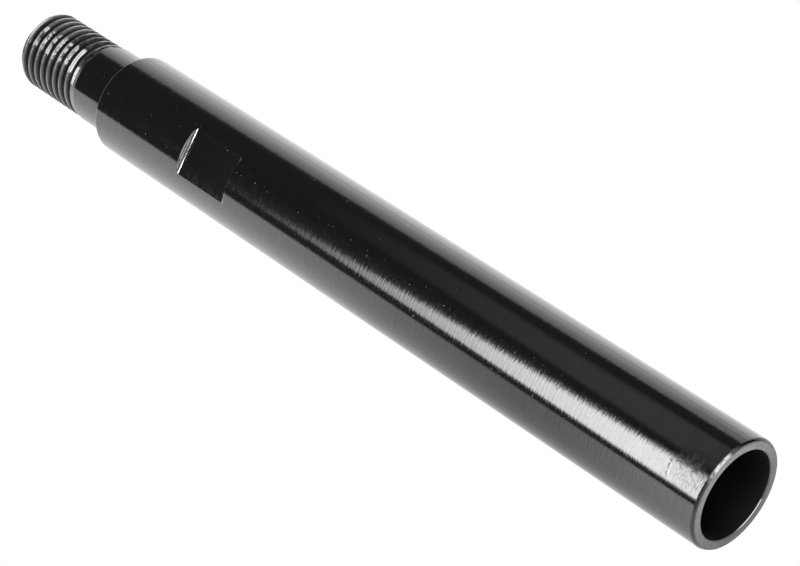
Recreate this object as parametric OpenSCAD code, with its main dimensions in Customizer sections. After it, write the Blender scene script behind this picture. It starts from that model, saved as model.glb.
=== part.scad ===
// Screw-on extension for a core drill, turned and milled from one steel bar.
// It stands on its open end. The origin is the centre of that end face, and +Z runs
// along the axis, through the shoulder and the neck, to the tip of the male thread.
// The wrench flats face +X and -X.

/* [Body] */
// Outside diameter of the bar
body_d = 20; // [19:0.5:24]
// Length from the open end to the shoulder
body_length = 153.4; // [90:0.2:300]
// Width of the chamfer round the open end, across the axis
mouth_chamfer_width = 0.3; // [0.1:0.05:0.6]
// Depth of the chamfer round the open end, along the axis
mouth_chamfer_depth = 0.5; // [0.1:0.05:1]
// Size of the 45 degree chamfer on the shoulder's edge
shoulder_chamfer = 0.15; // [0.05:0.05:0.5]

/* [Wrench flats] */
// Distance across the two flats
flats_across = 17.7; // [17:0.1:18.5]
// Length of the flats along the axis
flats_length = 13.5; // [8:0.5:20]
// Distance from the shoulder to the nearer end of the flats
flats_to_shoulder = 25.1; // [5:0.1:30]
// Radius that the cutter's corner leaves at both ends of each flat
flats_corner_radius = 0.5; // [0.1:0.05:0.8]

/* [Neck] */
// Diameter of the plain neck that centres the next piece
neck_d = 16.1; // [16:0.05:16.2]
// Length of the neck
neck_length = 9.8; // [4:0.2:12]
// Size of the 45 degree chamfer on the edge where the neck steps down to the thread
neck_chamfer = 0.1; // [0.05:0.05:0.1]

/* [Male thread] */
// Diameter over the thread's crests
thread_crest_d = 15.75; // [15.6:0.05:15.8]
// Pitch of the thread
thread_pitch = 2; // [1.5:0.25:2]
// Length of the threaded end
thread_length = 18.6; // [12:0.2:24]
// Diameter of the tip's end face, inside its 45 degree chamfer
thread_tip_d = 14; // [13.4:0.1:15]
// Height above the neck at which the middle of the groove starts
thread_start_gap = 0.3; // [0.2:0.1:1.5]
// Direction about the axis in which the groove starts, in degrees from +X
thread_start_angle = 12; // [1:1:359]

/* [Socket] */
// Diameter of the plain bore that centres the neck of the next piece
register_d = 16.2; // [16.1:0.05:16.4]
// Depth of the plain bore
register_depth = 10.5; // [10:0.5:14]
// Size of the 45 degree chamfer round the bore's mouth
register_chamfer = 0.12; // [0.05:0.01:0.3]
// Diameter over the crests of the female thread
tapped_d = 14; // [13.8:0.05:14.2]
// Length of the tapped hole beyond the plain bore
tapped_length = 21; // [19:0.5:26]

/* [Passage] */
// Diameter of the passage for water or air, from the socket to the tip
passage_d = 8; // [5:0.5:9]
// Size of the 45 degree chamfer where the passage leaves the tip
passage_chamfer = 0.5; // [0.2:0.1:1]

/* [Hidden] */

// Facets of a full circle, facets of a small corner's full circle, and steps of the groove in one turn
round_facets = 128;
corner_facets = 32;
groove_steps = 36;

// How far a cutter reaches past the face that it cuts
overcut = 1;

// Heights of the shoulder, of the neck's end and of the tip
shoulder_z = body_length;
neck_end_z = shoulder_z + neck_length;
tip_z = neck_end_z + thread_length;

// Depths at which the sections of the socket end. The drill's point has an 118 degree cone.
drill_point_angle = 118;
tapped_end_z = register_depth + tapped_length;
tapped_cone_height = (tapped_d - passage_d) / 2 / tan(drill_point_angle / 2);

// Section of the thread's groove: 60 degrees between its flanks, and a narrow flat root
flank_half_angle = 30;
nominal_d = 16;
root_depth = 0.6134 * thread_pitch;
root_r = nominal_d / 2 - root_depth;
root_half_width = thread_pitch * 7 / 16 - root_depth * tan(flank_half_angle);
crest_r = thread_crest_d / 2;

// The die leaves the groove wide and shallow beside the neck. It gets its full depth and its
// narrow root over this many turns.
run_out_turns = 1.2;
run_out_extra_width = 0.35;

// The cutter starts clear of the crests, and its top stands proud of them everywhere.
cutter_clearance = 0.05;
cutter_top_r = crest_r + 0.3;

groove_start_z = neck_end_z + thread_start_gap;
groove_turns = (tip_z + thread_pitch - groove_start_z) / thread_pitch;
groove_ring_count = ceil(groove_turns * groove_steps) + 1;

// Share of the run-out that is left at one step: 1 where the groove starts, 0 at full depth
function run_out_left(step) = 1 - min(1, step / groove_steps / run_out_turns);

// The four corners of the groove's section at one step
function groove_ring(step) = let (
        angle = thread_start_angle + 360 * step / groove_steps,
        z = groove_start_z + thread_pitch * step / groove_steps,
        left = run_out_left(step),
        bottom_r = root_r + left * (crest_r + cutter_clearance - root_r),
        bottom_half = root_half_width + left * run_out_extra_width,
        top_half = bottom_half + (cutter_top_r - bottom_r) * tan(flank_half_angle)
    ) [
        [bottom_r * cos(angle), bottom_r * sin(angle), z - bottom_half],
        [cutter_top_r * cos(angle), cutter_top_r * sin(angle), z - top_half],
        [cutter_top_r * cos(angle), cutter_top_r * sin(angle), z + top_half],
        [bottom_r * cos(angle), bottom_r * sin(angle), z + bottom_half]
    ];

// One long closed solid in the shape of the groove
module groove_cutter() {
    sides = 4;
    points = [for (step = [0:groove_ring_count - 1]) each groove_ring(step)];
    walls = [
        for (step = [0:groove_ring_count - 2], side = [0:sides - 1])
            let (
                a = step * sides + side,
                b = step * sides + (side + 1) % sides
            )
            each [[a, b, a + sides], [b, b + sides, a + sides]]
    ];
    last = (groove_ring_count - 1) * sides;
    first_cap = [[3, 2, 1], [3, 1, 0]];
    last_cap = [[last, last + 1, last + 2], [last, last + 2, last + 3]];
    polyhedron(points, concat(walls, first_cap, last_cap));
}

// The bar as it leaves the lathe: body, shoulder, neck and blank for the thread
module turned_blank() {
    tip_chamfer = (thread_crest_d - thread_tip_d) / 2;
    rotate_extrude($fn = round_facets)
        polygon([
            [0, 0],
            [body_d / 2 - mouth_chamfer_width, 0],
            [body_d / 2, mouth_chamfer_depth],
            [body_d / 2, shoulder_z - shoulder_chamfer],
            [body_d / 2 - shoulder_chamfer, shoulder_z],
            [neck_d / 2, shoulder_z],
            [neck_d / 2, neck_end_z - neck_chamfer],
            [neck_d / 2 - neck_chamfer, neck_end_z],
            [crest_r, neck_end_z],
            [crest_r, tip_z - tip_chamfer],
            [thread_tip_d / 2, tip_z],
            [0, tip_z]
        ]);
}

// Everything that is drilled along the axis: plain bore, tapped hole and passage
module drilled_bores() {
    rotate_extrude($fn = round_facets)
        polygon([
            [0, -overcut],
            [register_d / 2 + register_chamfer + overcut, -overcut],
            [register_d / 2, register_chamfer],
            [register_d / 2, register_depth],
            [tapped_d / 2, register_depth],
            [tapped_d / 2, tapped_end_z],
            [passage_d / 2, tapped_end_z + tapped_cone_height],
            [passage_d / 2, tip_z - passage_chamfer],
            [passage_d / 2 + passage_chamfer + overcut, tip_z + overcut],
            [0, tip_z + overcut]
        ]);
}

// Section of the cutter's path along the bar: a slot whose two inner corners are rounded
module flat_section() {
    depth = (body_d - flats_across) / 2 + overcut;
    hull() {
        for (z = [flats_corner_radius, flats_length - flats_corner_radius])
            translate([flats_corner_radius, z])
                circle(flats_corner_radius, $fn = corner_facets);
        translate([flats_corner_radius, 0])
            square([depth - flats_corner_radius, flats_length]);
    }
}

// Two opposite flats for an open-ended wrench, cut straight across the bar
module wrench_flats() {
    low_z = shoulder_z - flats_to_shoulder - flats_length;
    for (side = [0, 180])
        rotate([0, 0, side])
            translate([flats_across / 2, body_d, low_z])
                rotate([90, 0, 0])
                    linear_extrude(2 * body_d)
                        flat_section();
}

module extension_body() {
    color("dimgray")
        difference() {
            turned_blank();
            drilled_bores();
            wrench_flats();
            groove_cutter();
        }
}

extension_body();
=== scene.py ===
import math
from contextlib import contextmanager
from functools import cached_property, reduce
from typing import NamedTuple

import bmesh
import bpy
from bpy.props import FloatProperty, FloatVectorProperty, IntProperty, PointerProperty
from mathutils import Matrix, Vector


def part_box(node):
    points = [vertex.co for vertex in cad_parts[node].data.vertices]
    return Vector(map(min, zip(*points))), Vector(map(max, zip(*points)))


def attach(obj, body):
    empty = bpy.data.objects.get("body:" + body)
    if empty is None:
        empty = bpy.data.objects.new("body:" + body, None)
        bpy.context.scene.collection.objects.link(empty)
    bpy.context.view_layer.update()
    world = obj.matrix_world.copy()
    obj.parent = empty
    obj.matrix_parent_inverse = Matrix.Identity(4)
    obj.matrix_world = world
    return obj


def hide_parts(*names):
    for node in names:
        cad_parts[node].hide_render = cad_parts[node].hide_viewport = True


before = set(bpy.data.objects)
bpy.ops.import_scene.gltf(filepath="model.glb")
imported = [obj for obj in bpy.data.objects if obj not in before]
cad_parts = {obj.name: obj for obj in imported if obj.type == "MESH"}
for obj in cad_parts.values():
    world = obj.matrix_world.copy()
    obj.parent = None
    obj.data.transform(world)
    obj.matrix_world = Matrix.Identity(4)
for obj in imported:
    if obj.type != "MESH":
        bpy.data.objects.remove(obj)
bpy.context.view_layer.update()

bl_info = {
    "name": "Core drill extension",
    "version": (1, 0, 0),
    "blender": (4, 5, 0),
    "location": "3D View > Sidebar > Extension",
    "description": "Models a blackened steel extension for a core drill, and a small studio round it",
    "category": "Add Mesh",
}

BAR_LOW, BAR_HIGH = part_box("extension_body")
MM = 0.001
TAU = 2 * math.pi
TINY = 1e-6
DRILL_POINT = math.radians(118)


def length(name, description, default):
    """A property that holds a length in metres."""
    return FloatProperty(name=name, description=description, default=default, unit="LENGTH", precision=5)


def shade(name, description, default):
    """A property that holds a grey or a colour in linear light."""
    return FloatVectorProperty(
        name=name, description=description, default=default, subtype="COLOR", min=0, max=1
    )


class BarSizes(bpy.types.PropertyGroup):
    """Sizes of the bar's plain outside."""

    body_d: length("Body diameter", "Outside diameter of the bar", BAR_HIGH.x - BAR_LOW.x)
    shoulder_z: length("Shoulder", "Height of the shoulder above the open end", 153.4 * MM)
    mouth_chamfer_width: length("Mouth chamfer width", "Width of the open end's chamfer", 0.3 * MM)
    mouth_chamfer_depth: length("Mouth chamfer depth", "Depth of the open end's chamfer", 0.5 * MM)
    shoulder_chamfer: length("Shoulder chamfer", "Size of the chamfer on the shoulder", 0.15 * MM)
    neck_d: length("Neck diameter", "Diameter of the plain neck", 16.1 * MM)
    neck_end_z: length("Neck end", "Height at which the neck steps down to the thread", 163.2 * MM)
    neck_chamfer: length("Neck chamfer", "Size of the chamfer on the neck's end", 0.1 * MM)
    flats_across: length("Across flats", "Distance across the wrench flats", 17.7 * MM)
    flats_low_z: length("Flats start", "Height of the flats' lower end", 114.8 * MM)
    flats_high_z: length("Flats end", "Height of the flats' upper end", 128.3 * MM)
    flats_corner_radius: length("Flats corner", "Radius that the cutter leaves at the flats' ends", 0.5 * MM)
    edge_break: length("Edge break", "Width of the rounding on every sharp edge", 0.04 * MM)
    facets: IntProperty(name="Facets", description="Facets of a full turn", default=192, min=48, max=512)


class ThreadSizes(bpy.types.PropertyGroup):
    """Sizes of the male thread and of the female thread, which are cut with one pitch."""

    pitch: length("Pitch", "Rise of either thread in one turn", 2 * MM)
    crest_d: length("Crest diameter", "Diameter over the male thread's crests", 15.75 * MM)
    nominal_d: length("Nominal diameter", "Diameter that the thread is named by", 16 * MM)
    tip_d: length("Tip diameter", "Diameter of the tip's end face", 14 * MM)
    tip_z: length("Tip", "Height of the tip", BAR_HIGH.z)
    start_gap: length("Start gap", "Height above the neck at which the groove starts", 0.3 * MM)
    start_angle: FloatProperty(
        name="Start angle", description="Direction in which the groove starts", default=math.radians(12),
        subtype="ANGLE",
    )
    run_out_turns: FloatProperty(
        name="Run-out", description="Turns over which the male groove gets its full depth", default=1.2,
        min=0.1,
    )
    run_out_width: length("Run-out width", "Extra half width of the groove where it starts", 0.35 * MM)
    steps: IntProperty(
        name="Steps", description="Steps of one turn of a thread", default=160, min=48, max=512
    )


class SocketSizes(bpy.types.PropertyGroup):
    """Sizes of everything that is drilled and tapped along the axis."""

    register_d: length("Register diameter", "Diameter of the plain bore", 16.2 * MM)
    register_depth: length("Register depth", "Depth of the plain bore", 10.5 * MM)
    register_chamfer: length("Register chamfer", "Size of the chamfer round the bore", 0.12 * MM)
    tapped_d: length("Tapped diameter", "Diameter over the female thread's crests", 14 * MM)
    tapped_end_z: length("Tapped end", "Height at which the tapped hole ends", 31.5 * MM)
    passage_d: length("Passage diameter", "Diameter of the passage for water or air", 8 * MM)
    passage_chamfer: length("Passage chamfer", "Size of the chamfer where the passage ends", 0.5 * MM)


class FinishColours(bpy.types.PropertyGroup):
    """What each finish of the steel reflects."""

    blackened: shade("Blackened", "Turned steel under its black oxide", (0.085, 0.085, 0.086))
    flank: shade("Flank", "Outer part of the thread's flanks", (0.105, 0.104, 0.103))
    crest: shade("Crest", "Thread crests", (0.27, 0.267, 0.262))
    # Also the colour of painted highlights on the thread's lands and crests, the shoulder's edge and the
    # flats' corner
    bare_and_highlight: shade("Bare", "Steel where the oxide has worn off", (0.9, 0.89, 0.88))


class StudioSizes(bpy.types.PropertyGroup):
    """The camera's place, the floor, and the round wall of cards."""

    camera_place: FloatVectorProperty(
        name="Camera place", description="Where the camera stands", default=(0.32912, 0.07327, -0.17256),
        subtype="TRANSLATION", unit="LENGTH", precision=5,
    )
    camera_turn: FloatVectorProperty(
        name="Camera turn", description="How the camera is turned",
        default=(math.radians(143.5217), math.radians(42.2801), math.radians(145.0051)), subtype="EULER",
    )
    camera_lens: FloatProperty(name="Lens", description="Focal length in millimetres", default=108.07, min=1)
    floor_size: length("Floor size", "Side of the square floor", 6.0)
    floor_colour: shade("Floor colour", "Pale floor", (0.8, 0.8, 0.8))
    wall_radius: length("Wall radius", "Distance of the studio's cards from the axis", 0.8)


def sizes():
    """The sizes and colours as the sidebar shows them."""
    return bpy.context.scene.extension_sizes


def alone(piece):
    """Makes one object the only selected one."""
    bpy.ops.object.select_all(action="DESELECT")
    piece.select_set(True)
    bpy.context.view_layer.objects.active = piece


@contextmanager
def at_work_on(piece, kind="VERT"):
    """Opens one piece in edit mode with nothing selected, gives its mesh, and closes it again."""
    alone(piece)
    bpy.ops.object.mode_set(mode="EDIT")
    bpy.ops.mesh.select_mode(type=kind)
    bpy.ops.mesh.select_all(action="DESELECT")
    yield bmesh.from_edit_mesh(piece.data)
    bpy.ops.object.mode_set(mode="OBJECT")


def choose(piece, parts, test):
    """Selects the vertices, edges or faces that pass a test, and nothing else, and counts them."""
    bpy.ops.mesh.select_all(action="DESELECT")
    mesh = bmesh.from_edit_mesh(piece.data)
    chosen = [part for part in getattr(mesh, parts) if test(part)]
    for part in chosen:
        part.select_set(True)
    mesh.select_flush_mode()
    bmesh.update_edit_mesh(piece.data)
    return len(chosen)


def at_height(edge, z):
    """Whether an open edge lies in the level plane at one height."""
    return edge.is_boundary and all(abs(vertex.co.z - z) < TINY for vertex in edge.verts)


def turned_wall(name, profile, facets):
    """A ring drawn out along a profile of (radius, height) points, as a lathe would turn it."""
    (radius, z), *rest = profile
    bpy.ops.mesh.primitive_circle_add(vertices=facets, radius=radius, location=(0, 0, z))
    wall = bpy.context.object
    wall.name = name
    bpy.ops.object.transform_apply(location=True, rotation=False, scale=False)
    with at_work_on(wall, "EDGE"):
        bpy.ops.mesh.select_all(action="SELECT")
        for next_radius, next_z in rest:
            bpy.ops.mesh.extrude_region_move(TRANSFORM_OT_translate={"value": (0, 0, next_z - z)})
            scale = next_radius / radius
            bpy.ops.transform.resize(value=(scale, scale, 1), center_override=(0, 0, 0))
            radius, z = next_radius, next_z
    return wall


def slot_section():
    """The (x, z) corners of a flat's section, from its upper end down, with the cutter's rounded corners."""
    size = sizes().bar
    radius, steps = size.flats_corner_radius, 4
    middle_x, middle_z = size.flats_across / 2 + radius, size.flats_high_z - radius
    turns = [math.pi / 2 * step / steps for step in range(steps + 1)]
    upper = [(middle_x - radius * math.sin(turn), middle_z + radius * math.cos(turn)) for turn in turns]
    return upper + [(x, size.flats_low_z + size.flats_high_z - z) for x, z in reversed(upper)]


def mill_flat(bar, side):
    """Cuts one wrench flat into the bar's outside. side is 1 for +X and -1 for -X."""
    size = sizes().bar
    ends = (size.flats_low_z, size.flats_high_z)
    outside = size.body_d / 2 - size.mouth_chamfer_width
    facing = outside * 0.8
    section = slot_section()
    lines = list(zip(section, section[1:]))

    def between(face, low_z, high_z):
        """Whether a face of the bar's outside lies on the flat's side, between two heights."""
        middle = face.calc_center_median()
        on_outside = math.hypot(middle.x, middle.y) > outside
        return on_outside and low_z < middle.z < high_z and middle.x * side > facing

    with at_work_on(bar, "FACE"):
        for (high_x, high_z), (low_x, low_z) in lines:
            choose(bar, "faces", lambda face: between(face, ends[0], high_z))
            bpy.ops.mesh.bisect(plane_co=(0, 0, low_z), plane_no=(0, 0, 1), threshold=TINY)
            choose(bar, "faces", lambda face: between(face, low_z, high_z))
            across = Vector((side * (high_z - low_z), 0, low_x - high_x)).normalized()
            start = Vector((side * low_x, 0, low_z))
            bpy.ops.mesh.bisect(plane_co=start, plane_no=across, threshold=TINY)
            choose(bar, "faces", lambda face: between(face, low_z, high_z) and (
                face.calc_center_median() - start
            ).dot(across) > 0)
            bpy.ops.mesh.delete(type="FACE")
        bpy.ops.mesh.select_mode(type="EDGE")
        for z in ends:
            choose(bar, "edges", lambda edge: at_height(edge, z) and edge.verts[0].co.x * side > 0)
            bpy.ops.mesh.edge_face_add()
        choose(bar, "edges", lambda edge: edge.is_boundary and edge.verts[0].co.x * side > 0 and not (
            at_height(edge, ends[0]) or at_height(edge, ends[1])
        ) and all(ends[0] - TINY < vertex.co.z < ends[1] + TINY for vertex in edge.verts))
        bpy.ops.mesh.bridge_edge_loops()


def break_edges(piece, low_z=-1, high_z=1):
    """Rounds every sharp edge between two heights a little, as deburring does."""
    sharp = math.radians(25)
    with at_work_on(piece, "EDGE"):
        choose(piece, "edges", lambda edge: (
            len(edge.link_faces) == 2 and edge.calc_face_angle() > sharp
            and all(low_z - TINY < vertex.co.z < high_z + TINY for vertex in edge.verts)
        ))
        bpy.ops.mesh.bevel(offset=sizes().bar.edge_break, segments=2, affect="EDGES", clamp_overlap=False)


def soft_min(a, b, blend):
    """The smaller of two values, with the corner between them rounded over a width."""
    share = min(1, max(0, 0.5 + 0.5 * (b - a) / blend))
    return b + (a - b) * share - blend * share * (1 - share)


class Groove:
    """The helical groove of a right-hand thread, in a male or a female wall."""

    FLANK_SLOPE = math.tan(math.radians(30))
    ROOT_ROUNDING = 0.22 * MM
    CREST_ROUNDING = 0.07 * MM

    def __init__(self, pitch, crest_r, depth, root_half, start_z, start_angle, side, fade, fade_width):
        self.pitch = pitch
        self.crest_r = crest_r
        self.depth = depth
        self.root_half = root_half
        self.start_z = start_z
        self.start_angle = start_angle
        self.side = side
        self.fade = fade
        self.fade_width = fade_width

    def middle(self, angle):
        """Height of the groove's middle at one angle, in its first turn."""
        return self.start_z + self.pitch * (angle - self.start_angle) / TAU

    def radius(self, angle, z):
        """Radius of the threaded wall at one place. fade holds the turns of no depth and of full depth."""
        turn = round((z - self.middle(angle)) / self.pitch)
        across = abs(z - self.middle(angle) - turn * self.pitch)
        turns = turn + (angle - self.start_angle) / TAU
        none, full = self.fade
        share = min(1, max(0, (turns - none) / (full - none)))
        depth = self.depth * share
        half = self.root_half + self.fade_width * (1 - share)
        cut = soft_min(depth, depth - (across - half) / self.FLANK_SLOPE, self.ROOT_ROUNDING)
        cut = -soft_min(-cut, 0, self.CREST_ROUNDING)
        if turns < min(self.fade) or share == 0:
            cut = 0
        return self.crest_r + self.side * cut


def threaded_wall(name, groove, low_z, high_z, steps, limit):
    """The wall that a groove leaves between two heights. limit caps or lifts the radius at a height."""
    # Where the wall has rows, in halves of a pitch from the groove's middle, closest at its corners
    rows = [0, 0.08, 0.16, 0.25, 0.35, 0.47, 0.59, 0.69, 0.75, 0.79, 0.83, 0.89, 1]
    across = [-row for row in reversed(rows[1:])] + rows
    turns = math.ceil((high_z - low_z) / groove.pitch) + 2
    bpy.ops.mesh.primitive_grid_add(x_subdivisions=len(across) - 1, y_subdivisions=1, size=1)
    wall = bpy.context.object
    wall.name = name
    first = groove.middle(0)
    first -= math.ceil((first + groove.pitch / 2 - low_z) / groove.pitch) * groove.pitch
    with at_work_on(wall):
        choose(wall, "verts", lambda vertex: vertex.co.y < 0)
        bpy.ops.mesh.delete(type="VERT")
        line = sorted(bmesh.from_edit_mesh(wall.data).verts, key=lambda vertex: vertex.co.x)
        for vertex, share in zip(line, across):
            vertex.co = (groove.crest_r, 0, first + share * groove.pitch / 2)
        bmesh.update_edit_mesh(wall.data)
    lead = wall.modifiers.new("Lead", "SCREW")
    lead.axis = "Z"
    lead.angle = TAU
    lead.screw_offset = groove.pitch
    lead.iterations = turns
    lead.steps = steps
    lead.render_steps = steps
    bpy.ops.object.modifier_apply(modifier=lead.name)
    with at_work_on(wall):
        bpy.ops.mesh.select_all(action="SELECT")
        bpy.ops.mesh.remove_doubles(threshold=TINY)
        for z, outer in ((low_z, False), (high_z, True)):
            bpy.ops.mesh.select_all(action="SELECT")
            bpy.ops.mesh.bisect(
                plane_co=(0, 0, z), plane_no=(0, 0, 1), threshold=TINY,
                clear_outer=outer, clear_inner=not outer,
            )
        for vertex in bmesh.from_edit_mesh(wall.data).verts:
            angle = math.atan2(vertex.co.y, vertex.co.x)
            radius = limit(groove.radius(angle, vertex.co.z), vertex.co.z)
            vertex.co.x = radius * math.cos(angle)
            vertex.co.y = radius * math.sin(angle)
        bmesh.update_edit_mesh(wall.data)
    return wall


def male_thread():
    """The threaded end, from the neck to the tip's chamfer."""
    bar, thread = sizes().bar, sizes().thread
    root_depth = 0.6134 * thread.pitch
    half_at_nominal = thread.pitch * 7 / 16
    crest_r = thread.crest_d / 2
    groove = Groove(
        pitch=thread.pitch,
        crest_r=crest_r,
        depth=crest_r - (thread.nominal_d / 2 - root_depth),
        root_half=half_at_nominal - root_depth * Groove.FLANK_SLOPE,
        start_z=bar.neck_end_z + thread.start_gap,
        start_angle=thread.start_angle,
        side=-1,
        fade=(0, thread.run_out_turns),
        fade_width=thread.run_out_width,
    )

    def tip_cone(radius, z):
        return min(radius, thread.tip_d / 2 + thread.tip_z - z)

    return threaded_wall("male_thread", groove, bar.neck_end_z, thread.tip_z, thread.steps, tip_cone)


def female_thread():
    """The wall of the tapped hole, with a lead-in chamfer, and plain where the tap's cut ends."""
    thread, socket = sizes().thread, sizes().socket
    crest_r, nominal_r = socket.tapped_d / 2, thread.nominal_d / 2
    lead_in_r = nominal_r - 0.05 * MM
    plain = 2.5 * MM
    last = (socket.tapped_end_z - socket.register_depth - plain) / thread.pitch
    groove = Groove(
        pitch=thread.pitch,
        crest_r=crest_r,
        depth=nominal_r - crest_r,
        root_half=thread.pitch / 16,
        start_z=socket.register_depth,
        start_angle=0,
        side=1,
        fade=(last, last - 1),
        fade_width=0,
    )

    def mouth_cone(radius, z):
        return max(radius, lead_in_r - (z - socket.register_depth))

    return threaded_wall(
        "female_thread", groove, socket.register_depth, socket.tapped_end_z, thread.steps // 2, mouth_cone
    )


def turned_outside():
    """From the bottom of the register bore round the mouth, up the body and the neck to its end."""
    bar, socket = sizes().bar, sizes().socket
    body_r, neck_r, bore_r = bar.body_d / 2, bar.neck_d / 2, socket.register_d / 2
    rim = 0.05 * MM
    return turned_wall("extension_bar", [
        (bore_r - rim, socket.register_depth),
        (bore_r, socket.register_depth),
        (bore_r, socket.register_chamfer),
        (bore_r + socket.register_chamfer, 0),
        (body_r - bar.mouth_chamfer_width, 0),
        (body_r, bar.mouth_chamfer_depth),
        (body_r, bar.flats_low_z),
        (body_r, bar.flats_high_z),
        (body_r, bar.shoulder_z - bar.shoulder_chamfer),
        (body_r - bar.shoulder_chamfer, bar.shoulder_z),
        (neck_r, bar.shoulder_z),
        (neck_r, bar.neck_end_z - bar.neck_chamfer),
        (neck_r - bar.neck_chamfer, bar.neck_end_z),
        (neck_r - bar.neck_chamfer - rim, bar.neck_end_z),
    ], bar.facets)


def drilled_passage():
    """From the tip's end face down the passage to the drill's cone under the tapped hole."""
    bar, thread, socket = sizes().bar, sizes().thread, sizes().socket
    passage_r, tapped_r = socket.passage_d / 2, socket.tapped_d / 2
    rim = 0.1 * MM
    cone = (tapped_r - rim - passage_r) / math.tan(DRILL_POINT / 2)
    return turned_wall("passage", [
        (passage_r + socket.passage_chamfer + rim, thread.tip_z),
        (passage_r + socket.passage_chamfer, thread.tip_z),
        (passage_r, thread.tip_z - socket.passage_chamfer),
        (passage_r, socket.tapped_end_z + cone),
        (tapped_r - rim, socket.tapped_end_z),
    ], bar.facets)


def join_walls(first, others, heights):
    """Joins the walls into one closed piece, with a flat ring between the two open rims at each height."""
    alone(first)
    for other in others:
        other.select_set(True)
    bpy.ops.object.join()
    with at_work_on(first, "EDGE"):
        for z in heights:
            choose(first, "edges", lambda edge: at_height(edge, z))
            bpy.ops.mesh.fill(use_beauty=True)
        bpy.ops.mesh.select_all(action="SELECT")
        bpy.ops.mesh.remove_doubles(threshold=TINY / 10)
        bpy.ops.mesh.normals_make_consistent(inside=False)
        open_edges = choose(first, "edges", lambda edge: not edge.is_manifold)
    if open_edges:
        raise RuntimeError(f"{first.name} has {open_edges} open edges")


def smooth_faces(piece):
    """Smooth shading that keeps the large faces flat."""
    crease = math.radians(40)
    alone(piece)
    bpy.ops.object.shade_smooth_by_angle(angle=crease)
    weights = piece.modifiers.new("Weights", "WEIGHTED_NORMAL")
    weights.mode = "FACE_AREA"
    weights.weight = 100
    weights.keep_sharp = True
    bpy.ops.object.modifier_apply(modifier=weights.name)


class Signal:
    """A shader value that is used in plain arithmetic, which adds its Math nodes."""

    def __init__(self, nodes, socket):
        self.nodes = nodes
        self.socket = socket

    def maths(self, operation, *values):
        return self.nodes.add("ShaderNodeMath", {"operation": operation}, dict(enumerate(values)))

    def __add__(self, other):
        return self.maths("ADD", self, other)

    def __radd__(self, other):
        return self.maths("ADD", other, self)

    def __sub__(self, other):
        return self.maths("SUBTRACT", self, other)

    def __rsub__(self, other):
        return self.maths("SUBTRACT", other, self)

    def __mul__(self, other):
        return self.maths("MULTIPLY", self, other)

    def __rmul__(self, other):
        return self.maths("MULTIPLY", other, self)

    def __truediv__(self, other):
        return self.maths("DIVIDE", self, other)

    def __rtruediv__(self, other):
        return self.maths("DIVIDE", other, self)

    def __pow__(self, other):
        return self.maths("POWER", self, other)

    def __abs__(self):
        return self.maths("ABSOLUTE", self)

    def larger(self, other):
        return self.maths("MAXIMUM", self, other)

    def ramp(self, low, high):
        """0 below low and 1 above high, with a smooth rise between. low may be above high."""
        limits = {"Value": self, "From Min": low, "From Max": high}
        return self.nodes.add("ShaderNodeMapRange", {"interpolation_type": "SMOOTHSTEP"}, limits)

    def near(self, middle, reach, edge):
        """1 within a reach of a value, fading to 0 over the edge beyond it."""
        return abs(self - middle).ramp(reach + edge, reach)


class Nodes:
    """A node tree that is wired as it is written down."""

    def __init__(self, tree):
        self.tree = tree
        tree.nodes.clear()

    def add(self, kind, settings=None, values=None, output=0):
        """Adds one node: its settings first, then its sockets' values or links. Gives one output."""
        node = self.tree.nodes.new(kind)
        for setting, value in (settings or {}).items():
            setattr(node, setting, value)
        for name, value in (values or {}).items():
            if isinstance(value, Signal):
                self.tree.links.new(value.socket, node.inputs[name])
            else:
                node.inputs[name].default_value = value
        return Signal(self, node.outputs[output]) if node.outputs else None

    def split(self, vector):
        """The three parts of a vector."""
        x = self.add("ShaderNodeSeparateXYZ", values={"Vector": vector})
        return x, *(Signal(self, x.socket.node.outputs[name]) for name in ("Y", "Z"))


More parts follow.
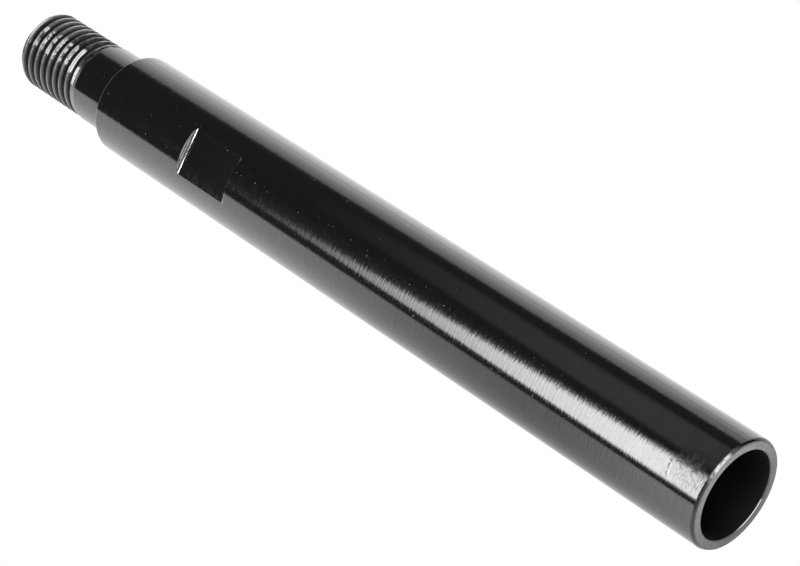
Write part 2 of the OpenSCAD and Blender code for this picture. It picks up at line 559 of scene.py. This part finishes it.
class Finish(Nodes):
    """The nodes of one material. Places are in metres on the part, and directions in degrees from +X."""

    def __init__(self, name):
        self.material = bpy.data.materials.new(name)
        self.material.use_nodes = True
        super().__init__(self.material.node_tree)

    @cached_property
    def place(self):
        return self.add("ShaderNodeTexCoord", output="Object")

    @cached_property
    def xyz(self):
        return self.split(self.place)

    @cached_property
    def radius(self):
        x, y = self.xyz[:2]
        return (x * x + y * y) ** 0.5

    @cached_property
    def direction(self):
        x, y = self.xyz[:2]
        return x.maths("ARCTAN2", y, x) * math.degrees(1)

    def noise(self, across, along, detail=2.0, roughness=0.5, shift=0.0):
        """A cloudy pattern between 0 and 1, so many to the metre across the axis and along it."""
        vector = self.add("ShaderNodeMapping", values={
            "Vector": self.place, "Scale": (across, across, along), "Location": (shift,) * 3,
        })
        return self.add("ShaderNodeTexNoise", values={
            "Vector": vector, "Detail": detail, "Roughness": roughness, "Scale": 1.0,
        })

    def specks(self, cell, size, share):
        """Ragged specks, at most one to a cell, of which only a share of the cells has one."""
        values = {"Vector": self.place, "Scale": 1 / cell}
        away = self.add("ShaderNodeTexVoronoi", values=values, output="Distance")
        pick, swell = self.split(Signal(self, away.socket.node.outputs["Color"]))[:2]
        wide = size / cell
        ragged = (away + self.noise(5000, 5000) * wide) / (swell * 0.8 + 0.6)
        return ragged.ramp(wide * 1.25, wide * 0.8) * pick.ramp(1 - share, 1.001 - share)

    def scratch(self, direction, z, lean, reach, width, bend=0.0, waver=0.0):
        """A line round the bar.

        direction and z give its middle, lean is its rise in a degree, bend its curve, reach half its
        length in degrees, and waver how far it strays.
        """
        away = self.direction - direction
        line = self.xyz[2] - z - away * lean - away * away * bend
        if waver:
            line = line + (self.noise(900, 900, detail=2, shift=z / MM) - 0.5) * waver
        return line.near(0, width * 0.3, width * 0.7) * abs(away).ramp(reach, reach * 0.5)

    def blend(self, share, first, second):
        """The first colour where share is 0, and the second where it is 1."""
        values = {"Factor": share, "A": first, "B": second}
        return self.add("ShaderNodeMix", {"data_type": "RGBA"}, values, output="Result")

    def bump(self, height, distance, under=None):
        """Relief of a height pattern, laid over another normal if one is given."""
        values = {"Height": height, "Distance": distance}
        if under is not None:
            values["Normal"] = under
        return self.add("ShaderNodeBump", values=values)

    def scaled(self, vector, factor):
        """A vector or a colour times a number."""
        return self.add("ShaderNodeVectorMath", {"operation": "SCALE"}, {"Vector": vector, "Scale": factor})

    def leaning(self, share):
        """The surface's normal, leaning down where share is 1, so that it mirrors the floor."""
        normal = self.add("ShaderNodeNewGeometry", output="Normal")
        down = self.scaled((0, 0, -0.8), share)
        lowered = self.add("ShaderNodeVectorMath", {"operation": "ADD"}, {0: normal, 1: down})
        return self.add("ShaderNodeVectorMath", {"operation": "NORMALIZE"}, {0: lowered})

    def steel(self, base, roughness, relief, metallic=1.0):
        """Ends the material in a metal surface, and gives the material."""
        return self.end(self.add("ShaderNodeBsdfPrincipled", values={
            "Metallic": metallic, "Base Color": base, "Roughness": roughness, "Normal": relief,
        }))

    def end(self, surface):
        """Links the material's output, and gives the material."""
        self.add("ShaderNodeOutputMaterial", values={"Surface": surface})
        return self.material


def colour(value):
    """A property's colour with full opacity."""
    return (*value, 1.0)


def grey(level):
    """A plain grey with full opacity."""
    return (level, level, level, 1.0)


def rim_glint(finish):
    """The painted highlight on the mouth's rim: a ragged patch of near-white colour."""
    return finish.direction.near(26, 10, 9) * finish.noise(800, 1300, detail=2, shift=9).ramp(0.26, 0.54)


def scratches(finish):
    """Four broken scratches near the mouth, and two more up the bar."""
    lines = [
        finish.scratch(18, 5.4 * MM, lean=-0.1 * MM, reach=12, width=0.11 * MM, bend=0.006 * MM),
        finish.scratch(20, 4.1 * MM, lean=0.09 * MM, reach=11, width=0.11 * MM, bend=-0.005 * MM),
        finish.scratch(17, 2.8 * MM, lean=-0.05 * MM, reach=11, width=0.1 * MM, bend=0.004 * MM),
        finish.scratch(8, 5.6 * MM, lean=0.06 * MM, reach=12, width=0.1 * MM),
        finish.scratch(2, 32 * MM, lean=0.02 * MM, reach=12, width=0.1 * MM),
        finish.scratch(62, 66.5 * MM, lean=0.35 * MM, reach=8, width=0.1 * MM),
    ]
    return reduce(Signal.larger, lines) * finish.noise(900, 900, detail=1, shift=6).ramp(0.35, 0.6)


def dented(finish):
    """The shallow dent near the mouth, and the lip that is raised beside it."""
    broken = finish.noise(2200, 2200, detail=2, shift=12)
    dent = finish.scratch(1.5, 7.4 * MM, lean=0.03 * MM, reach=11, width=0.26 * MM, waver=0.9 * MM)
    lip = finish.scratch(0.5, 7 * MM, lean=0.03 * MM, reach=9, width=0.2 * MM, waver=0.9 * MM)
    return dent * broken.ramp(0.4, 0.5), lip * broken.ramp(0.35, 0.45)


def light_edge_lines(finish):
    """Lighter lines in the colour: a painted highlight along the shoulder's edge, and a light line at the
    lower end of the flats on one side.
    """
    bar = sizes().bar
    x, y, z = finish.xyz
    shoulder_low = z.ramp(bar.shoulder_z - 0.27 * MM, bar.shoulder_z - 0.2 * MM)
    shoulder_high = z.ramp(bar.shoulder_z + 0.06 * MM, bar.shoulder_z + 0.04 * MM)
    past_flat = abs(x).ramp(bar.flats_across / 2 - 0.1 * MM, bar.flats_across / 2)
    flat_end = z.near(bar.flats_low_z, 0.08 * MM, 0.04 * MM) * past_flat * y.ramp(1.5 * MM, -2 * MM)
    return (shoulder_low * shoulder_high * 0.28).larger(flat_end * 0.2)


def reflection_line_and_drawn_marks(finish):
    """A painted dark line in the reflection, running along the bar, and short drawn lines beside it at the
    mouth.
    """
    z = finish.xyz[2]
    # Painted reflection: a thin dark line where the reflected light band has a dark step, drifting a little
    # with height
    reflection_line_direction, reflection_line_lean = 73, 11
    reflection_line = abs(finish.direction + z * reflection_line_lean - reflection_line_direction).ramp(1.0, 0.4)
    drawn = finish.noise(2600, 50, detail=1, shift=13).ramp(0.5, 0.62)
    drawn = drawn * finish.direction.near(77, 10, 5) * z.ramp(18 * MM, 5 * MM)
    return (reflection_line * 0.8).larger(drawn * 0.5)


def turned_black():
    """Turned bar under black oxide: rings left by the tool, scratches, specks of dust and light edge lines.

    Painted light: highlights on the shoulder's edge, the mouth's rim and the dent's lip, shade in the dent,
    and a dark line in the reflection along the bar.
    """
    finish = Finish("turned_black")
    colours, z = sizes().colours, finish.xyz[2]
    dent, lip = dented(finish)
    rubbed = scratches(finish)
    dust = finish.specks(1.1 * MM, 0.15 * MM, 0.42)
    glint = rim_glint(finish) * z.ramp(0.5 * MM, 0.3 * MM)
    hairs = finish.noise(150, 5200, detail=2, roughness=0.7, shift=7)

    base = finish.blend(hairs.ramp(0.4, 0.7), colour(colours.blackened), (0.077, 0.077, 0.078, 1))
    # Painted reflection: a thin dark line along the bar, with short drawn lines beside it at the mouth
    base = finish.blend(reflection_line_and_drawn_marks(finish), base, grey(0.02))
    base = finish.blend(dust, base, grey(0.16))
    # Painted shade: the dent is darker in colour as well as in relief
    base = finish.blend(dent * 0.5, base, grey(0.02))
    # Painted highlight along the shoulder's edge, and a light line at the flats' lower end
    base = finish.blend(light_edge_lines(finish), base, colour(colours.bare_and_highlight))
    # Painted highlight: the mouth rim's glint reaches onto the chamfer
    base = finish.blend(glint, base, grey(0.95))
    # Painted highlight: the raised lip beside the dent is lighter in colour
    base = finish.blend(lip * 0.3, base, grey(0.2))

    rings = finish.noise(420, 2700, detail=1, roughness=0.6)
    fine = finish.noise(1100, 5200, detail=1, shift=5)
    mottled = finish.noise(1500, 1900, detail=3, roughness=0.7, shift=15)
    worn_end = finish.direction.near(14, 14, 9) * z.ramp(8 * MM, 5.5 * MM)
    height = rings + fine * 0.35 + hairs * 0.08 + mottled * worn_end * 1.1
    height = height - rubbed * 0.5 - dent * 0.5 + lip * 0.3

    broad = finish.noise(90, 260, detail=2, shift=3)
    frayed = finish.noise(1300, 5200, detail=2, roughness=0.65, shift=11).ramp(0.5, 0.72)
    haze = finish.noise(500, 1600, detail=3, roughness=0.7, shift=8).ramp(0.35, 0.62)
    haze = haze * finish.direction.near(19, 4, 8) * z.near(4.4 * MM, 1.2 * MM, 2 * MM)
    roughness = 0.085 + broad * 0.03 + frayed * 0.09 + worn_end * mottled.ramp(0.38, 0.66) * 0.1
    roughness = roughness + rubbed * 0.14 + haze * 0.3 + dust * 0.4 + glint * 0.25
    return finish.steel(base, roughness, finish.bump(height, 1e-5))


def land_highlights(finish, crest_r, above):
    """Painted highlight on the broad crest beside the neck where the groove begins, and on the one a turn
    further on.
    """
    first = finish.direction.near(0, 12, 3) * above.near(1.25 * MM, 0.4 * MM, 0.1 * MM)
    second = finish.direction.near(20, 18, 4) * above.near(3.1 * MM, 0.45 * MM, 0.1 * MM)
    return first.larger(second) * finish.radius.ramp(crest_r - 0.42 * MM, crest_r - 0.28 * MM)


def tip_crest_highlight(finish, crest_r, tip_z):
    """Painted highlight on the last crest before the tip's chamfer."""
    crest = finish.radius.ramp(crest_r - 0.22 * MM, crest_r - 0.06 * MM)
    last = finish.xyz[2].near(tip_z - 1.15 * MM, 0.3 * MM, 0.2 * MM)
    return crest * last * finish.direction.near(30, 12, 18)


def thread_black():
    """The male thread: an oily root in painted shade, dull flanks, ragged crests with wear and painted light
    and shade, and painted highlights on the lands beside the neck and on the last crest at the tip.
    """
    finish = Finish("thread_black")
    bar, thread, colours = sizes().bar, sizes().thread, sizes().colours
    z, crest_r = finish.xyz[2], thread.crest_d / 2
    above = z - bar.neck_end_z
    ragged = finish.noise(1500, 3200, detail=2, roughness=0.6)
    patches = finish.noise(550, 2000, detail=3, roughness=0.6, shift=4)
    outer = finish.radius + (ragged - 0.5) * (0.24 * MM)
    crest = outer.ramp(crest_r - 0.16 * MM, crest_r - 0.02 * MM)
    crest_flat = finish.radius.ramp(crest_r - 0.16 * MM, crest_r - 0.06 * MM)
    land_highlight = land_highlights(finish, crest_r, above)
    tip = tip_crest_highlight(finish, crest_r, thread.tip_z)
    # Wear and painted highlight: light patches on the crests, gathered toward the lit directions near 21
    # degrees
    worn = (patches * 0.55 + ragged * 0.6 + finish.direction.near(21, 12, 24) * 0.5).ramp(0.98, 1.1)
    worn = worn * outer.ramp(crest_r - 0.5 * MM, crest_r - 0.3 * MM) * above.ramp(2.2 * MM, 2.8 * MM)
    worn = worn * z.ramp(thread.tip_z - 1.5 * MM, thread.tip_z - 2.2 * MM)

    # Painted shade: mottled dark patches on the crests beside the neck, at two ranges of direction
    neck_shade_patches = above.ramp(2.4 * MM, 1.2 * MM) * finish.direction.near(43, 28, 8)
    neck_shade_patches = neck_shade_patches.larger(above.ramp(9 * MM, 7 * MM) * finish.direction.near(62, 18, 12))
    neck_shade_patches = neck_shade_patches * patches.ramp(0.66, 0.46)
    # Painted shade: the colour darkens from the flanks' outer part down into the root
    flank = outer.ramp(crest_r - 0.58 * MM, crest_r - 0.08 * MM)
    flank = finish.blend(flank, grey(0.022), colour(colours.flank))
    # Painted shade: the crests are dimmer at directions below about -16 degrees and take the crest colour
    # above about 4
    crest_shade_by_direction = finish.blend(finish.direction.ramp(-16, 4), (0.17, 0.168, 0.165, 1), colour(colours.crest))
    base = finish.blend(neck_shade_patches * 0.85, finish.blend(crest, flank, crest_shade_by_direction), grey(0.02))
    # Wear and painted highlights in the light colour: crest patches, the lands beside the neck and the last
    # crest at the tip
    base = finish.blend((worn * 0.9).larger(land_highlight).larger(tip * 0.7), base, colour(colours.bare_and_highlight))

    bright = land_highlight.larger(worn.ramp(0.3, 0.6)).larger(tip.ramp(0.2, 0.5)) * crest_flat
    relief = finish.bump(ragged * (1 - land_highlight.larger(tip)), 3e-5, under=finish.leaning(bright))
    oily = outer.ramp(crest_r - 0.5 * MM, crest_r - 0.9 * MM)
    roughness = 0.22 + crest * 0.08 - land_highlight * 0.1 + oily * 0.3
    return finish.steel(base, roughness, relief, metallic=1 - oily)


def faced_steel():
    """The turned end faces: rings left by the facing tool and a dark outer rim, with painted light: one side
    lighter than the other, shade toward the bore, a highlight on the bore's edge and the rim's glint.
    """
    finish = Finish("faced_steel")
    bar, socket = sizes().bar, sizes().socket
    x, y = finish.xyz[:2]
    body_r, bore_r = bar.body_d / 2, socket.register_d / 2
    chamfer_r = bore_r + socket.register_chamfer
    rings = finish.noise(1300, 1300, detail=3, roughness=0.65, shift=2)
    rim = finish.radius.ramp(body_r - bar.mouth_chamfer_width - 0.4 * MM, body_r - 0.2 * MM)
    # Painted shade: the face darkens toward the bore
    bore_shade = finish.radius.ramp(chamfer_r + 0.2 * MM, bore_r)
    # Painted highlight: a bright line on the bore's edge on the far side
    edge = finish.radius.ramp(chamfer_r + 0.05 * MM, bore_r + 0.05 * MM) * finish.direction.near(-159, 14, 17)
    # Painted highlight: the rim's glint
    glint = rim_glint(finish) * finish.radius.ramp(9.5 * MM, 9.66 * MM)
    # Painted light and shade: the face is lighter toward one side and darker toward the other
    painted_light_across = (x * 0.8 + y * 0.6) / finish.radius * 0.38 + 0.96
    tint = finish.scaled(finish.blend(rings, grey(0.1), grey(0.35)), painted_light_across)
    base = finish.blend((rim * 0.8).larger(bore_shade * 0.5), tint, grey(0.05))
    base = finish.blend(edge.larger(glint), base, grey(0.9))
    return finish.steel(base, 0.3, finish.bump(rings, 6e-6))


def milled_black():
    """Wrench flats: nearly black, with faint marks of the cutter across the bar near the lower end."""
    finish = Finish("milled_black")
    bar, colours = sizes().bar, sizes().colours
    y, z = finish.xyz[1:]
    marks = finish.noise(250, 2200, detail=2, roughness=0.6)
    chatter = marks * z.ramp(bar.flats_high_z - 3 * MM, bar.flats_low_z)
    near_side = y.ramp(-1.5 * MM, -4.5 * MM) * finish.noise(400, 2600, detail=2, shift=3).ramp(0.4, 0.65)
    far_side = y.ramp(3.9 * MM, 4.6 * MM) * finish.noise(2500, 2500, detail=2, shift=6).ramp(0.52, 0.64)
    dust = finish.specks(1.1 * MM, 0.16 * MM, 0.6)
    base = finish.blend(near_side.larger(far_side), colour(colours.blackened), grey(0.2))
    base = finish.blend(dust, base, grey(0.3))
    return finish.steel(base, 0.09 + chatter * 0.03 + dust * 0.4, finish.bump(chatter, 8e-6))


def milled_end():
    """Ends of the wrench flats.

    The upper end's wall is grey and scored by the cutter, its corner and its outer edge carry painted
    highlights, and the lower end is black.
    """
    finish = Finish("milled_end")
    bar, colours = sizes().bar, sizes().colours
    x, y, z = finish.xyz
    flat_x, body_r, score_pitch = bar.flats_across / 2, bar.body_d / 2, 0.58 * MM
    path = abs(x) + finish.noise(350, 350, detail=1, shift=2) * (0.5 * MM)
    teeth = finish.noise(1500, 1500, detail=1, shift=5).ramp(0.35, 0.62)
    scores = (x.maths("SINE", path * (TAU / score_pitch)) * 0.5 + 0.5) * (teeth * 0.7 + 0.3)
    # Painted highlight: a bright line on the wall's outer edge
    edge = finish.radius.ramp(body_r - 0.22 * MM, body_r - 0.1 * MM) * abs(y).ramp(3.6 * MM, 3.3 * MM)
    upper = z.ramp(bar.flats_low_z + 1 * MM, bar.flats_high_z - 1 * MM)
    # Painted highlight: a bright line along the corner of the upper end
    corner = abs(x).ramp(flat_x + 0.12 * MM, flat_x + 0.05 * MM) * upper
    wall = abs(x).ramp(flat_x + 0.2 * MM, flat_x + 0.4 * MM)
    tint = finish.blend(wall, grey(0.16), finish.blend(scores, grey(0.16), grey(0.95)))
    base = finish.blend((edge * 0.9).larger(corner * 0.75), tint, colour(colours.bare_and_highlight))
    base = finish.blend(upper, colour(colours.blackened), base)
    relief = finish.bump(scores, 1e-5)
    return finish.steel(base, 0.6 - corner * 0.4, relief, metallic=1 - wall * upper * 0.75)


def bored_black():
    """The bores and the passage: dark, and rougher than the outside."""
    finish = Finish("bored_black")
    rings = finish.noise(80, 2600, detail=3, roughness=0.6)
    return finish.steel(grey(0.1), 0.45 + rings * 0.1, finish.bump(rings, 6e-6))


FINISHES = (turned_black, thread_black, faced_steel, milled_black, milled_end, bored_black)


def which_finish(face):
    """The one of FINISHES that a face of the finished bar has."""
    bar, thread, socket = sizes().bar, sizes().thread, sizes().socket
    middle, normal = face.calc_center_median(), face.normal
    radius = math.hypot(middle.x, middle.y)
    outward = normal.x * middle.x + normal.y * middle.y > 0
    level = abs(normal.z) > 0.95
    in_thread = middle.z > bar.neck_end_z + TINY and radius > thread.tip_d / 2 - 0.6 * MM
    beside_flats = bar.flats_low_z - TINY < middle.z < bar.flats_high_z + TINY
    beside_flats = beside_flats and radius > socket.register_d / 2
    if in_thread and not level:
        return thread_black
    if middle.z < socket.register_chamfer and abs(normal.z) > 0.9:
        return faced_steel
    if middle.z < socket.register_chamfer + TINY and not outward:
        return faced_steel
    if level and middle.z > bar.shoulder_z - TINY and radius > socket.passage_d / 2:
        return faced_steel
    if beside_flats and abs(normal.x) > 0.9999:
        return milled_black
    if beside_flats and abs(normal.y) < 0.01 and abs(middle.y) < 4 * MM:
        return milled_end
    on_bar = outward and radius > bar.neck_d / 2 - bar.edge_break * 4
    return turned_black if on_bar else bored_black


class EXTENSION_OT_bar(bpy.types.Operator):
    """Model the whole extension: turned, milled, threaded, bored and tapped bar"""

    bl_idname = "extension.bar"
    bl_label = "Extension bar"

    def execute(self, context):
        bar, thread, socket = sizes().bar, sizes().thread, sizes().socket
        piece = turned_outside()
        break_edges(piece)
        for side in (1, -1):
            mill_flat(piece, side)
        break_edges(piece, bar.flats_low_z, bar.flats_high_z)
        passage = drilled_passage()
        break_edges(passage)
        join_walls(
            piece, [passage, male_thread(), female_thread()],
            (bar.neck_end_z, thread.tip_z, socket.register_depth, socket.tapped_end_z),
        )
        for finish in FINISHES:
            piece.data.materials.append(finish())
        with at_work_on(piece, "FACE") as mesh:
            for face in mesh.faces:
                face.material_index = FINISHES.index(which_finish(face))
            bmesh.update_edit_mesh(piece.data)
        smooth_faces(piece)
        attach(piece, "root")
        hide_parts("extension_body")
        return {"FINISHED"}


class Patch(NamedTuple):
    """A bright patch on a card: what it adds to the card's glow, and where it comes and goes.

    Across the card, from left to right, it comes between the two shares of rise and goes between those
    of fall. Up the card it comes between the two shares of height. By default it is everywhere.
    """

    gain: float
    rise: tuple = (-1, 0)
    fall: tuple = (2, 1)
    height: tuple = (-1, 0)


def glow(name, dim, *patches):
    """A material that only glows: dim, and brighter inside its patches."""
    finish = Finish(name)
    u, v = finish.split(finish.add("ShaderNodeTexCoord", output="UV"))[:2]
    level = dim
    for patch in patches:
        level = level + u.ramp(*patch.rise) * u.ramp(*patch.fall) * v.ramp(*patch.height) * patch.gain
    shown = level if patches else grey(dim)
    return finish.end(finish.add("ShaderNodeEmission", values={"Color": shown, "Strength": 1.0}))


def card(name, outline, material):
    """A curved card that only reflections see.

    outline has (radius, height, left, right) rows, with left and right in degrees.
    """
    bpy.ops.mesh.primitive_grid_add(x_subdivisions=32, y_subdivisions=len(outline) - 1, size=1)
    sheet = bpy.context.object
    sheet.name = name
    with at_work_on(sheet) as mesh:
        for vertex in mesh.verts:
            radius, z, left, right = outline[round((vertex.co.y + 0.5) * (len(outline) - 1))]
            azimuth = math.radians(left + (right - left) * (vertex.co.x + 0.5))
            vertex.co = (radius * math.cos(azimuth), radius * math.sin(azimuth), z)
        bmesh.update_edit_mesh(sheet.data)
    sheet.data.materials.append(material)
    sheet.visible_camera = False
    sheet.visible_diffuse = False
    sheet.visible_shadow = False
    sheet.visible_transmission = False


def lamp(name, place, target, size, power):
    """A square soft light that shines on a point, and that no reflection shows."""
    data = bpy.data.lights.new(name, "AREA")
    data.size = size
    data.energy = power
    light = bpy.data.objects.new(name, data)
    bpy.context.scene.collection.objects.link(light)
    light.location = place
    light.rotation_euler = (Vector(target) - Vector(place)).to_track_quat("-Z", "Y").to_euler()
    light.visible_glossy = False
    return light


def white_world():
    """White to the camera and in reflections, and plain light for everything else."""
    world = bpy.data.worlds.new("studio_world")
    world.use_nodes = True
    nodes = Nodes(world.node_tree)
    seen = nodes.add("ShaderNodeLightPath", output="Is Camera Ray")
    for name in ("Is Glossy Ray", "Is Transmission Ray"):
        seen = seen.larger(nodes.add("ShaderNodeLightPath", output=name))
    strength = 0.5 + seen * 0.5
    background = nodes.add("ShaderNodeBackground", values={"Color": grey(1), "Strength": strength})
    nodes.add("ShaderNodeOutputWorld", values={"Surface": background})
    bpy.context.scene.world = world


def floor_material():
    """Pale from above, white in near reflections and dim in far ones, and clear from below."""
    finish = Finish("studio_floor")
    white_to, dim_from, dim = 0.22, 0.7, 0.2
    shown = finish.radius.ramp(dim_from, white_to) * (1 - dim) + dim
    pale = finish.add("ShaderNodeBsdfDiffuse", values={"Color": colour(sizes().studio.floor_colour)})
    white = finish.add("ShaderNodeEmission", values={"Color": shown, "Strength": 1.0})
    clear = finish.add("ShaderNodeBsdfTransparent")
    in_gloss = finish.add("ShaderNodeLightPath", output="Is Glossy Ray")
    below = finish.add("ShaderNodeNewGeometry", output="Backfacing")
    top = finish.add("ShaderNodeMixShader", values={0: in_gloss, 1: pale, 2: white})
    return finish.end(finish.add("ShaderNodeMixShader", values={0: below, 1: top, 2: clear}))


class EXTENSION_OT_studio(bpy.types.Operator):
    """Set up the camera, the floor, the cards and the lamp"""

    bl_idname = "extension.studio"
    bl_label = "Studio"

    def execute(self, context):
        studio = sizes().studio
        scene = context.scene
        data = bpy.data.cameras.new("studio_camera")
        data.lens = studio.camera_lens
        data.sensor_width = 36
        data.clip_start = 0.01
        camera = bpy.data.objects.new("studio_camera", data)
        scene.collection.objects.link(camera)
        camera.location = studio.camera_place
        camera.rotation_euler = studio.camera_turn
        scene.camera = camera
        scene.view_settings.view_transform = "Standard"

        floor_z, foot_z = -0.1 * MM, -0.05 * MM
        bpy.ops.mesh.primitive_plane_add(size=studio.floor_size, location=(0, 0, floor_z))
        floor = context.object
        floor.name = "studio_floor"
        floor.data.materials.append(floor_material())

        facing = math.degrees(math.atan2(studio.camera_place[1], studio.camera_place[0]))

        def hang(name, outline, behind, material):
            """A card on the round wall.

            outline has (height, left, right) rows, with left and right in degrees from the camera.
            """
            wall = studio.wall_radius + behind
            card(name, [(wall, z, facing + left, facing + right) for z, left, right in outline], material)

        dark = 0.11
        hang("dark_card", [(0.1, -57, 104), (1.3, -57, 63)], 0.06, glow("card_dark", dark))
        hang(
            "faint_card", [(0.38, 8, 73), (0.58, 15, 70), (0.8, 32, 44)], 0.03,
            glow("card_faint", dark, Patch(0.29, rise=(0, 0.2), fall=(1, 0.9), height=(1, 0.3))),
        )
        hang(
            "key_card", [(0.38, -50, 8), (0.75, -38, -35)], 0,
            glow("card_key", dark, Patch(10.1, rise=(0, 0.12), fall=(1, 0.8), height=(1.18, 0.05))),
        )
        hang(
            "left_card", [(0.1, -178, -57), (1.3, -178, -57)], 0,
            glow(
                "card_left", 0.93, Patch(1.0, rise=(0, 0.7), height=(0.3, 0.6)),
                Patch(1.25, rise=(0.1, 1.1), height=(0.36, 0.26)),
            ),
        )
        hang(
            "right_card", [(0.1, 104, 178), (1.3, 63, 178)], 0,
            glow("card_right", 0.9, Patch(1.12, rise=(-0.11, 0.42), fall=(1.08, 0.32), height=(-0.3, 0.55))),
        )
        # Painted shade: two dark cards round the foot, seen only in reflections, stand in for the shade at
        # the bar's foot in the mouth's chamfer
        foot_radii = (10.1 * MM, 12 * MM)
        for name, left, right, level in (("foot_left", -42, 8, 0.4), ("foot_right", 37, 76, 0.05)):
            foot = [(radius, foot_z, facing + left, facing + right) for radius in foot_radii]
            card(name, foot, glow(f"card_{name}", level, Patch(1 - level, rise=(0.3, 0))))
        lamp("overhead", place=(0.3, -0.4, 1.2), target=(0, 0, 0.1), size=0.8, power=12)
        white_world()
        return {"FINISHED"}


class ExtensionSizes(bpy.types.PropertyGroup):
    """Everything that the sidebar offers."""

    bar: PointerProperty(type=BarSizes)
    thread: PointerProperty(type=ThreadSizes)
    socket: PointerProperty(type=SocketSizes)
    colours: PointerProperty(type=FinishColours)
    studio: PointerProperty(type=StudioSizes)


class EXTENSION_PT_sidebar(bpy.types.Panel):
    """The extension's sizes, a button for the bar and one for the studio."""

    bl_idname = "EXTENSION_PT_sidebar"
    bl_label = "Core drill extension"
    bl_space_type = "VIEW_3D"
    bl_region_type = "UI"
    bl_category = "Extension"

    def draw(self, context):
        for group in ("bar", "thread", "socket", "colours", "studio"):
            box = self.layout.box()
            values = getattr(sizes(), group)
            for name in values.bl_rna.properties.keys():
                if name not in ("rna_type", "name"):
                    box.prop(values, name)
        for operator in OPERATORS:
            self.layout.operator(operator.bl_idname)


OPERATORS = (EXTENSION_OT_bar, EXTENSION_OT_studio)
CLASSES = (
    BarSizes, ThreadSizes, SocketSizes, FinishColours, StudioSizes, ExtensionSizes,
    *OPERATORS, EXTENSION_PT_sidebar,
)


def register():
    for entry in CLASSES:
        bpy.utils.register_class(entry)
    bpy.types.Scene.extension_sizes = PointerProperty(type=ExtensionSizes)


def unregister():
    del bpy.types.Scene.extension_sizes
    for entry in reversed(CLASSES):
        bpy.utils.unregister_class(entry)


def main():
    """Builds the extension and its studio."""
    register()
    bpy.ops.extension.bar()
    bpy.ops.extension.studio()


if __name__ == "__main__":
    main()
